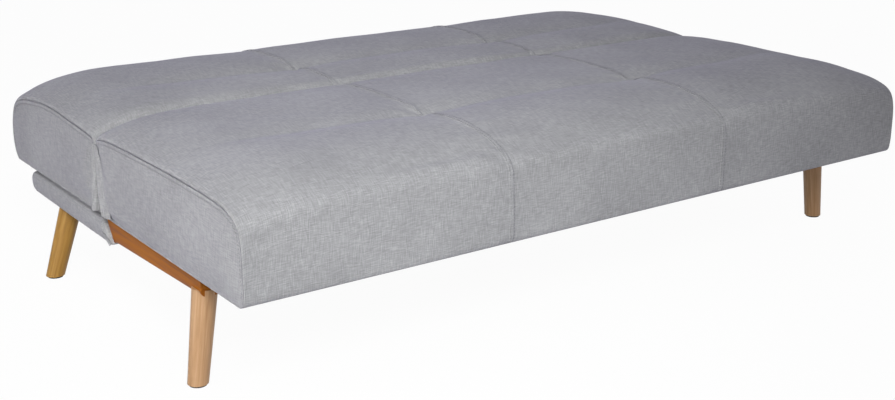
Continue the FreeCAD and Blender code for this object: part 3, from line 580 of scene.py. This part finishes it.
def buildSlab(name, shape):
    facing = shape["facing"]
    knots = np.array(shape["full"], float)
    spans = np.linalg.norm(np.diff(knots, axis=0), axis=1)
    middles = (knots[1:, 0] + knots[:-1, 0]) / 2
    near = np.abs(middles - shape["tuft"]) < slabMesh["channelWithinMm"]
    near &= knots[1:, 1] > 400  # on the top only
    rowMm = np.where(near, slabMesh["channelRowMm"], slabMesh["rowMm"])
    fine = [max(1, int(round(span / row))) for span, row in zip(spans, rowMm)]
    along = alongPlaces()
    grid = slabGrid(shape, fine, along)
    grid = grid + simulatedSwell(name, shape, spans, fine, along)
    grid = sewnDetail(shape, grid)
    rows, columns = grid.shape[:2]
    points = list(grid.reshape(-1, 3))
    steps = np.linalg.norm(np.diff(grid[:, columns // 2], axis=0), axis=1)
    around = np.concatenate([[0], np.cumsum(steps)])
    faces, cloth = [], []
    for i in range(rows):
        follower = (i + 1) % rows
        span = around[i] + slabMesh["underRun"] if follower == 0 else around[follower]
        for j in range(columns - 1):
            corners = [(i, j, around[i]), (i, j + 1, around[i]),
                       (follower, j + 1, span), (follower, j, span)]
            if facing > 0:
                corners.reverse()
            faces.append(tuple(r * columns + c for r, c, _ in corners))
            cloth += [(along[c] * 1000, s * 1000, 0) for _, c, s in corners]
    for side in (-1, 1):
        edgeColumn = 0 if side < 0 else columns - 1
        previous = [i * columns + edgeColumn for i in range(rows)]
        rings = capRings(grid[:, edgeColumn], side, shape, capping["runs"], capping["shares"])
        for ring in rings:
            start = len(points)
            points += list(ring)
            current = list(range(start, start + rows))
            for i in range(rows):
                follower = (i + 1) % rows
                face = [previous[i], previous[follower], current[follower], current[i]]
                if (side < 0) == (facing < 0):
                    face.reverse()
                faces.append(tuple(face))
                cloth += [(points[v][1] * 1000, points[v][2] * 1000, 5) for v in face]
            previous = current
        face = previous if (side < 0) != (facing < 0) else previous[::-1]
        faces.append(tuple(face))
        cloth += [(points[v][1] * 1000, points[v][2] * 1000, 5) for v in face]
    return makePiece(name, points, faces, upholstery, cloth), grid, along


def simulatedSwell(name, shape, spans, fine, along):
    # a coarse closed copy is inflated as cloth, pinned at its seams, and lends its movement
    coarse = [max(1, int(round(span / clothSim["aroundMm"]))) for span in spans]
    seams = (-halfLength, -upholstering["seamX"], upholstering["seamX"], halfLength)
    places = np.unique(np.concatenate([
        np.linspace(low, high, clothSim["panelSteps"] + 1) for low, high in zip(seams, seams[1:])
    ]))
    base = slabGrid(shape, coarse, places)
    rows, columns = base.shape[:2]
    faces = [(i * columns + j, i * columns + j + 1, (i + 1) % rows * columns + j + 1,
              (i + 1) % rows * columns + j) for i in range(rows) for j in range(columns - 1)]
    faces += [tuple(i * columns for i in range(rows)),
              tuple(i * columns + columns - 1 for i in reversed(range(rows)))]
    if shape["facing"] > 0:
        faces = [face[::-1] for face in faces]
    body = makePiece(name + "Sim", base.reshape(-1, 3), faces, upholstery)
    distance = (base[..., 1] - creaseY) * shape["facing"]
    x, z = np.abs(base[..., 0]), base[..., 2]
    held = (z < clothSim["heldBelow"]) | (np.abs(x - upholstering["seamX"]) < 0.001)
    held |= x > halfLength - 0.001
    held |= (distance < upholstering["creaseClear"]) & (z < clothSim["creaseHeldTo"])
    pins = body.vertex_groups.new(name="seams")
    pins.add([int(v) for v in np.flatnonzero(held.ravel())], 1.0, "REPLACE")
    cloth = body.modifiers.new("inflate", "CLOTH")
    settings = cloth.settings
    settings.vertex_group_mass = "seams"
    settings.quality = 6
    settings.use_pressure = True
    settings.uniform_pressure_force = clothSim["pressure"]
    settings.tension_stiffness = clothSim["stiffness"]
    settings.compression_stiffness = clothSim["stiffness"]
    settings.effector_weights.gravity = 0
    cloth.point_cache.frame_start = 1
    cloth.point_cache.frame_end = clothSim["frames"]
    for step in range(1, clothSim["frames"] + 1):
        bpy.context.scene.frame_set(step)
    swollen = body.evaluated_get(bpy.context.evaluated_depsgraph_get()).to_mesh()
    places3 = np.zeros(len(swollen.vertices) * 3)
    swollen.vertices.foreach_get("co", places3)
    move = places3.reshape(base.shape) - base
    size = np.linalg.norm(move, axis=-1, keepdims=True) + 1e-9
    cap = clothSim["cap"]
    print(name, "swell before the cap, mm:", round(float(size.max()) * 1000, 1))
    move = move / size * cap * np.tanh(size / cap) * clothSim["kept"]
    bpy.context.scene.frame_set(1)
    bpy.data.objects.remove(body)
    rowWeights = cubicWeights(knotRun(fine), knotRun(coarse))
    columnWeights = cubicWeights(along, places)
    return np.einsum("ia,abk,jb->ijk", rowWeights, move, columnWeights)


def stitchRow(path, normals, stitch=0.0052, gap=0.0022, thick=0.00055, lift=0.0003):
    # thread dashes along a path: short six-sided bars with sunk ends
    path, normals = np.asarray(path), np.asarray(normals)
    runs = np.concatenate([[0], np.cumsum(np.linalg.norm(np.diff(path, axis=0), axis=1))])
    points, faces = [], []
    start = gap
    while start + stitch < runs[-1]:
        base = len(points)
        for share, rise, width in ((0, -0.7, 0.5), (0.25, 0.6, 1), (0.75, 0.6, 1), (1, -0.7, 0.5)):
            at = start + share * stitch
            place = np.array([np.interp(at, runs, path[:, k]) for k in range(3)])
            ahead = np.array([np.interp(at + 0.001, runs, path[:, k]) for k in range(3)])
            normal = np.array([np.interp(at, runs, normals[:, k]) for k in range(3)])
            forward = ahead - place
            forward /= np.linalg.norm(forward) + 1e-12
            sideways = np.cross(forward, normal)
            sideways /= np.linalg.norm(sideways) + 1e-12
            centre = place + normal * (lift + rise * thick)
            for turn in range(6):
                angle = math.pi * turn / 3
                offset = sideways * math.cos(angle) + normal * math.sin(angle)
                points.append(centre + offset * thick * width)
        for ring in range(3):
            for turn in range(6):
                a, b = base + ring * 6 + turn, base + ring * 6 + (turn + 1) % 6
                faces.append((a, b, b + 6, a + 6))
        start += stitch + gap
    return points, faces


def joinRows(name, rows, material):
    points, faces = [], []
    for rowPoints, rowFaces in rows:
        base = len(points)
        points += rowPoints
        faces += [tuple(v + base for v in face) for face in rowFaces]
    return makePiece(name, points, faces, material)


def columnAt(grid, along, x):
    k = int(np.clip(np.searchsorted(along, x) - 1, 0, len(along) - 2))
    t = (x - along[k]) / (along[k + 1] - along[k])
    return grid[:, k] * (1 - t) + grid[:, k + 1] * t


def seamStitching(name, shape, grid, along):
    u = upholstering
    normal = skinNormals(grid)
    rows = []
    for side in (-1, 1):
        for edge in (-1, 1):
            x = side * u["seamX"] + edge * (u["stripHalf"] - u["stitchInset"])
            path, facingOut = columnAt(grid, along, x), columnAt(normal, along, x)
            distance = (path[:, 1] - creaseY) * shape["facing"]
            shown = (path[:, 2] > u["skinFrom"]) & (distance > u["creaseClear"])
            rows.append(stitchRow(path[shown], facingOut[shown]))
    for side in (-1, 1):  # the topstitching beside each end seam, on the end panel
        edge = grid[:, 0 if side < 0 else -1]
        ring = capRings(edge, side, shape, (u["endHem"],))[0]
        ring = ring[(ring[:, 2] > 0.245) & ((ring[:, 1] - creaseY) * shape["facing"] > 0.03)]
        rows.append(stitchRow(ring, np.tile([side, 0.0, 0.0], (len(ring), 1)), lift=0.0001))
    return joinRows(name, rows, threadMaterial)


for body, shape in (("seat", seatShape), ("back", backShape)):
    cushion, grid, along = buildSlab(f"{body}Cushion", shape)
    stitches = seamStitching(f"{body}Stitching", shape, grid, along)
    for piece in (cushion, stitches):
        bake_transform(piece)
    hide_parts(f"{body}_cushion")
print("cushions sewn")


def smoothLoop(knots, steps):  # a closed curve through 2D knots, in metres
    points = np.array(knots, float) / 1000
    count = len(points)
    result = []
    for k in range(count):
        p0, p1, p2, p3 = (points[(k + n) % count] for n in (-1, 0, 1, 2))
        for step in range(steps):
            t = step / steps
            result.append(0.5 * (2 * p1 + (p2 - p0) * t + (2 * p0 - 5 * p1 + 4 * p2 - p3) * t * t
                                 + (3 * p1 - p0 - 3 * p2 + p3) * t ** 3))
    return np.array(result)


# The platform's padded cover: a round nose at the rear, and at each end the cloth is tucked
# round the slanted toe of the side rail, with a small fold under it
platformShape = {
    "middle": [(60, 165), (30, 165), (17, 166), (13, 170), (13, 190), (13, 212), (17, 216),
               (30, 217), (60, 217), (160, 217.6), (300, 217.8), (420, 217.2), (462, 217),
               (482, 216.5), (497, 212), (506, 202), (508, 191), (506, 180), (497, 170),
               (482, 165.5), (462, 165), (300, 164.4), (160, 164.6)],
    "beside": [(64, 165), (36, 164.6), (21, 164), (15.5, 167.2), (21.5, 172.8), (34.8, 190),
               (48.5, 208.5), (57, 216.4), (72, 217), (160, 217.6), (300, 217.8), (420, 217.2),
               (462, 217), (482, 216.5), (497, 212), (506, 202), (508, 191), (506, 180), (497, 170),
               (482, 165.5), (462, 165), (300, 164.4), (160, 164.6)],
    "end": 0.898, "railInner": 0.8545, "edgeRound": 0.009, "capBulge": 0.0025,
    "lineFrom": 0.055, "lineTo": 0.47, "lineZ": 0.191,  # the line that an end closes on
    "rippleSize": 0.11, "rippleHeight": 0.0012,
}


def platformCover():
    shape = platformShape
    middle, beside = smoothLoop(shape["middle"], 4), smoothLoop(shape["beside"], 4)
    ahead = np.roll(beside, -1, axis=0) - np.roll(beside, 1, axis=0)
    inward = np.stack([-ahead[:, 1], ahead[:, 0]], -1) / np.linalg.norm(ahead, axis=1)[:, None]
    centre = beside.mean(axis=0)
    if np.sum(inward * (centre - beside)) < 0:
        inward = -inward
    lineY = np.clip(beside[:, 0], shape["lineFrom"], shape["lineTo"])
    core = np.stack([lineY, np.full(len(beside), shape["lineZ"])], -1)
    stations = [(x, middle, False) for x in np.linspace(0, shape["railInner"], 46)]
    flat = shape["end"] - shape["edgeRound"]
    stations += [(x, beside, False) for x in np.linspace(shape["railInner"] + 0.001, flat, 5)]
    for turn in (25, 50, 70, 90):
        inset = shape["edgeRound"] * (1 - math.cos(math.radians(turn)))
        reach = flat + shape["edgeRound"] * math.sin(math.radians(turn))
        stations.append((reach, beside + inward * inset, turn > 60))
    rim = stations[-1][1]
    for share in (0.15, 0.35, 0.6, 0.85, 0.98):
        bulge = shape["capBulge"] * smoothStep(share * 2)
        stations.append((shape["end"] + bulge, rim + (core - rim) * share, True))
    halves = [(-x, loop, capped) for x, loop, capped in reversed(stations[1:])] + stations
    points, faces, cloth = [], [], []
    count = len(middle)
    steps = np.linalg.norm(np.roll(middle, -1, 0) - middle, axis=1)
    around = np.concatenate([[0], np.cumsum(steps)])
    for x, loop, capped in halves:
        height = 0 if capped else shape["rippleHeight"]
        for y, z in loop:
            wave = ripple(x, y + z, 5.2, shape["rippleSize"]) * height
            points.append((x, y, z + (wave if 0.03 < y < 0.5 else 0)))
    for k in range(len(halves) - 1):
        capped = halves[k][2] and halves[k + 1][2]
        for i in range(count):
            j = (i + 1) % count
            face = (k * count + i, k * count + j, (k + 1) * count + j, (k + 1) * count + i)
            faces.append(face)
            for v, run in zip(face, (around[i], around[i + 1], around[i + 1], around[i])):
                x, y, z = points[v]
                cloth.append((y * 1000, z * 1000, 9) if capped else (x * 1000, run * 1000, 9))
    last = (len(halves) - 1) * count
    for face in (tuple(range(count))[::-1], tuple(range(last, last + count))):
        faces.append(face)
        cloth += [(points[v][1] * 1000, points[v][2] * 1000, 9) for v in face]
    return makePiece("platformCover", points, faces, upholstery, cloth)


cover = platformCover()
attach(cover, "base")
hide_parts("platform_cover")
print("platform covered")

# Loose cloth gathered beside the crease at both ends, in folds that fan out downward. Each half
# is sewn to its own slab, and together they hide the hinge.
gather = {
    "topZ": 0.381, "footZ": 0.231,
    "topWidth": 0.011, "footWidth": 0.044,
    "gap": 0.0006,  # from the crease to each half
    "mouthZ": 0.275, "mouthRun": 0.035, "mouthWidth": 0.0075,  # the slot they leave at the foot
    "seatMore": 1.5,  # the seat's half spreads wider than the back's
    "folds": 4.5, "foldRise": 0.0052, "drift": 0.35,
    "tuck": 0.012, "tuckRun": 0.09,  # sewn in by the crease, over this share of the width
    "lift": 0.0012, "slack": 0.0012, "footSag": 0.004, "thick": 0.001,
    "flatMm": 62,  # the cloth's own width, for the weave
}


def gatheredHalf(name, facing, side):
    g = gather
    rows, columns = 64, 81
    points, faces, cloth = [], [], []
    for row in range(rows):
        u = row / (rows - 1)
        width = g["topWidth"] + (g["footWidth"] - g["topWidth"]) * u ** 0.8
        width *= g["seatMore"] if facing < 0 else 1
        z = g["topZ"] + (g["footZ"] - g["topZ"]) * u
        mouth = g["mouthWidth"] * float(smoothStep((g["mouthZ"] - z) / g["mouthRun"]))
        near = g["gap"] + mouth
        for column in range(columns):
            v = column / (columns - 1)
            drift = g["drift"] * math.sin(5.2 * u + 1.7 * facing + side) * u
            wave = abs(math.sin(math.pi * (g["folds"] * v + drift * (1 - v)))) ** 0.8
            rise = g["foldRise"] * (0.35 + 0.65 * u) * wave * (1 - v ** 3)
            slack = ripple(v * 0.2 + facing, u * 0.2 + side, 2.4, 0.05) * g["slack"] * (1 - v)
            hold = math.exp(-(v / g["tuckRun"]) ** 1.6)
            x = side * (halfLength + g["lift"] + rise + slack - g["tuck"] * hold)
            y = creaseY + facing * (near + (width - near) * v)
            foot = g["footSag"] * math.sin(math.pi * v) * u
            points.append((x, y, z - foot))
    for row in range(rows - 1):
        for column in range(columns - 1):
            a = row * columns + column
            face = [a, a + 1, a + columns + 1, a + columns]
            if side * facing < 0:
                face.reverse()
            faces.append(tuple(face))
            for v in face:
                spread = (v % columns) / (columns - 1) * g["flatMm"]
                cloth.append((spread, points[v][2] * 1000, 12 + facing))
    piece = makePiece(name, points, faces, upholstery, cloth)
    thick = piece.modifiers.new("cloth", "SOLIDIFY")
    thick.thickness = g["thick"]
    thick.offset = -1
    return piece


for body, facing, shape in (("seat", -1, seatShape), ("back", 1, backShape)):
    halves = [gatheredHalf(f"{body}Gather{word.title()}", facing, side) for word, side in sides]
    for half in halves:
        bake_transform(half)
    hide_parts(f"{body}_gussets")
print("gathers sewn")

# Underside of each slab: webbing straps, a dust cloth and the staples that hold it
underside = {
    "sag": 0.004, "stapleEvery": 0.048, "stapleWide": 0.011, "stapleInset": 0.009,
    "wire": 0.0006, "stapleLeg": 0.0024, "staplesFrom": 0.03, "stapleTurn": 0.12,
    "clothThick": 0.0008, "shortPucker": 0.0008, "longPucker": 0.0009,
    "lift": 0.0006,  # cloth and straps start this far inside their solids
    "straps": 9, "strapWide": 0.06, "strapThick": 0.0011, "strapDish": 0.0007, "strapSlack": 0.0006,
}


def dustSheet(name, low, high):
    columns, rows = 97, 41
    points, faces = [], []
    for row in range(rows):
        for column in range(columns):
            u, v = column / (columns - 1), row / (rows - 1)
            x = low.x + (high.x - low.x) * u
            y = low.y + (high.y - low.y) * v
            inside = (4 * u * (1 - u)) ** 0.5 * (4 * v * (1 - v)) ** 0.5
            pucker = ripple(x, y, 6.6, 0.09) * underside["shortPucker"]
            pucker += ripple(x, y * 3, 1.3, 0.2) * underside["longPucker"]
            held = 0.55 + 0.45 * math.cos(x * 10.5) ** 2  # slow waves along the bed
            z = low.z + underside["lift"] - underside["sag"] * inside * held
            points.append((x, y, z + pucker * inside))
    for row in range(rows - 1):
        for column in range(columns - 1):
            a = row * columns + column
            faces.append((a, a + columns, a + columns + 1, a + 1))
    piece = makePiece(name, points, faces, dustCloth)
    thick = piece.modifiers.new("cloth", "SOLIDIFY")
    thick.thickness = underside["clothThick"]
    thick.offset = -1
    return piece


def stapleBars(name, low, high):
    # wire staples driven through the hem, each a round-ended bar with its legs in the timber
    half, wire, leg = underside["stapleWide"] / 2, underside["wire"], underside["stapleLeg"]
    inset, every = underside["stapleInset"], underside["stapleEvery"]
    margin, most = underside["staplesFrom"], underside["stapleTurn"]
    spots = []
    for y in (low.y + inset, high.y - inset):
        for k in range(int((high.x - low.x - 2 * margin) / every)):
            spots.append((low.x + margin + every * (k + 0.5), y, most * math.sin(7.0 * k)))
    for x in (low.x + inset, high.x - inset):
        for k in range(int((high.y - low.y - 2 * margin) / every)):
            turn = math.pi / 2 + most * math.sin(5.0 * k)
            spots.append((x, low.y + margin + every * (k + 0.5), turn))
    points, faces = [], []
    for x, y, angle in spots:
        forward = Vector((math.cos(angle), math.sin(angle), 0))
        sideways = Vector((-forward.y, forward.x, 0))
        spine = [(-half, leg), (-half, 0.0004), (-half + 0.0007, 0), (half - 0.0007, 0),
                 (half, 0.0004), (half, leg)]
        base = len(points)
        for run, rise in spine:
            centre = Vector((x, y, low.z - wire + rise)) + forward * run
            upright = abs(run) >= half and rise > 0.0003
            for turnStep in range(6):
                a = math.pi * turnStep / 3
                other = forward if upright and rise > 0.001 else Vector((0, 0, 1))
                points.append(centre + (sideways * math.cos(a) + other * math.sin(a)) * wire)
        for ring in range(len(spine) - 1):
            for turnStep in range(6):
                a, b = base + ring * 6 + turnStep, base + ring * 6 + (turnStep + 1) % 6
                faces.append((a, b, b + 6, a + 6))
    return makePiece(name, points, faces, zincPlate)


def webbingStraps(name, low, high):
    # elastic straps stretched between the boards, each a little dished across its width
    points, faces = [], []
    number, width = underside["straps"], underside["strapWide"]
    pitch = (high.x - low.x - width) / (number - 1)
    columns, rows = 9, 61
    for strap in range(number):
        start = low.x + strap * pitch
        base = len(points)
        for row in range(rows):
            for column in range(columns):
                u, v = column / (columns - 1), row / (rows - 1)
                dish = underside["strapDish"] * (2 * u - 1) ** 2
                slack = underside["strapSlack"] * math.sin(math.pi * v)
                points.append((start + width * u, low.y + (high.y - low.y) * v,
                               low.z + underside["lift"] + dish - slack))
        for row in range(rows - 1):
            for column in range(columns - 1):
                a = base + row * columns + column
                faces.append((a, a + columns, a + columns + 1, a + 1))
    piece = makePiece(name, points, faces, webbing)
    thick = piece.modifiers.new("strap", "SOLIDIFY")
    thick.thickness = underside["strapThick"]
    thick.offset = 1
    return piece


for body in ("seat", "back"):
    low, high = (Vector(corner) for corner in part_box(f"{body}_dust_cloth"))
    under = dustSheet(f"{body}DustCloth", low, high)
    staples = stapleBars(f"{body}Staples", low, high)
    strapLow, strapHigh = (Vector(corner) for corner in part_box(f"{body}_webbing"))
    straps = webbingStraps(f"{body}Webbing", strapLow, strapHigh)
    for piece, slot in ((under, "dust_cloth"), (staples, "steel"), (straps, "webbing")):
        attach(piece, body)
    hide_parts(f"{body}_dust_cloth")
    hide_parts(f"{body}_webbing")
print("undersides closed")

# the first word found in a node's name says what it is made of, and the rest is timber
finishes = (
    (("webbing",), webbing),
    (("dust_cloth",), dustCloth),
    (("glides", "buffers"), rubber),
    (("side_rail",), railWood),
    (("front_legs",), frontLegWood),
    (("rear_legs",), rearLegWood),
    (("pins", "bolts", "springs"), zincPlate),
    (("arms", "pawl", "brackets"), steelCoat),
    (("gussets", "cover", "cushion"), upholstery),
)
for name, node in nodes.items():
    found = [finish for words, finish in finishes if any(word in name for word in words)]
    node.data.materials.clear()
    node.data.materials.append(found[0] if found else frameTimber)
print("frame dressed")

# Lamp strengths are set so that a colour renders about as written
studio = {
    "floorColour": "#f4f4f3",
    "floorGlow": 0.96,  # how much of the floor's white the camera sees without shade
    "sky": {"colour": "#f8f7ff", "strength": 0.37},
    "end": {"place": (-3.7, -1.1, 1.0), "aim": (-0.9, -0.1, 0.3), "size": 2.0, "watts": 40,
            "colour": "#fffefa", "spread": 180},
    "front": {"place": (-1.9, -3.0, 2.5), "aim": (-0.5, -0.4, 0.35), "size": 1.4, "watts": 11,
              "colour": "#fdffff", "spread": 44},
}

floorMesh = bpy.data.meshes.new("floor")
floorMesh.from_pydata([(-30, -30, 0), (30, -30, 0), (30, 30, 0), (-30, 30, 0)], [], [(0, 1, 2, 3)])
floor = bpy.data.objects.new("floor", floorMesh)
sceneRoot.objects.link(floor)
floorPaint, floorTree, floorShader = newMaterial(
    "paleMattFloor", Roughness=0.9, Base_Color=hexColour(studio["floorColour"])
)
seen = addNode(floorTree, "LightPath")
glow = addNode(floorTree, "Emission", {"Color": (1, 1, 1, 1), "Strength": 1.0})
seenOrMirrored = addNode(
    floorTree, "Math",
    {0: seen.outputs["Is Camera Ray"], 1: seen.outputs["Is Glossy Ray"]}, operation="MAXIMUM",
)
share = addNode(
    floorTree, "Math", {0: seenOrMirrored.outputs[0], 1: studio["floorGlow"]}, operation="MULTIPLY"
)
floorMix = addNode(
    floorTree, "MixShader",
    {0: share.outputs[0], 1: floorShader.outputs["BSDF"], 2: glow.outputs["Emission"]},
)
floorTree.links.new(
    floorMix.outputs["Shader"], floorTree.nodes["Material Output"].inputs["Surface"]
)
floorMesh.materials.append(floorPaint)

world = bpy.data.worlds.new("softRoom")
world.use_nodes = True
bpy.context.scene.world = world
room = world.node_tree
sky = room.nodes["Background"]
sky.inputs["Color"].default_value = hexColour(studio["sky"]["colour"])
sky.inputs["Strength"].default_value = studio["sky"]["strength"]
white = addNode(room, "Background", {"Color": (1, 1, 1, 1), "Strength": 1.0})
path = addNode(room, "LightPath")
direct = addNode(
    room, "Math", {0: path.outputs["Is Camera Ray"], 1: path.outputs["Is Glossy Ray"]},
    operation="MAXIMUM",
)
roomMix = addNode(
    room, "MixShader",
    {0: direct.outputs[0], 1: sky.outputs["Background"], 2: white.outputs["Background"]},
)
room.links.new(roomMix.outputs["Shader"], room.nodes["World Output"].inputs["Surface"])

for name in ("end", "front"):  # the two softboxes
    lamp = bpy.data.lights.new(name, "AREA")
    lamp.size = studio[name]["size"]
    lamp.energy = studio[name]["watts"]
    lamp.color = hexColour(studio[name]["colour"])[:3]
    lamp.spread = math.radians(studio[name]["spread"])
    holder = bpy.data.objects.new(name + "Lamp", lamp)
    holder.location = studio[name]["place"]
    aim = Vector(studio[name]["aim"]) - holder.location
    holder.rotation_euler = aim.to_track_quat("-Z", "Y").to_euler()
    sceneRoot.objects.link(holder)

view = {
    "place": (-1.8661, -2.5710, 1.1240),
    "yaw": 0.6213, "pitch": 0.3101, "roll": 0.0026,
    "focalPixels": 1327.2, "imageWidth": 895,
}
camera = bpy.data.cameras.new("camera")
camera.sensor_width = 36
camera.lens = view["focalPixels"] / view["imageWidth"] * camera.sensor_width
cameraHolder = bpy.data.objects.new("camera", camera)
sceneRoot.objects.link(cameraHolder)
ahead = Vector((math.sin(view["yaw"]) * math.cos(view["pitch"]),
                math.cos(view["yaw"]) * math.cos(view["pitch"]), -math.sin(view["pitch"])))
level = Vector((math.cos(view["yaw"]), -math.sin(view["yaw"]), 0))
rise = level.cross(ahead)
right = level * math.cos(view["roll"]) + rise * math.sin(view["roll"])
top = rise * math.cos(view["roll"]) - level * math.sin(view["roll"])
turn = Matrix((right, top, -ahead)).transposed().to_4x4()
cameraHolder.matrix_world = Matrix.Translation(view["place"]) @ turn
bpy.context.scene.camera = cameraHolder
bpy.context.scene.view_settings.view_transform = "Standard"

print("camera and light set")
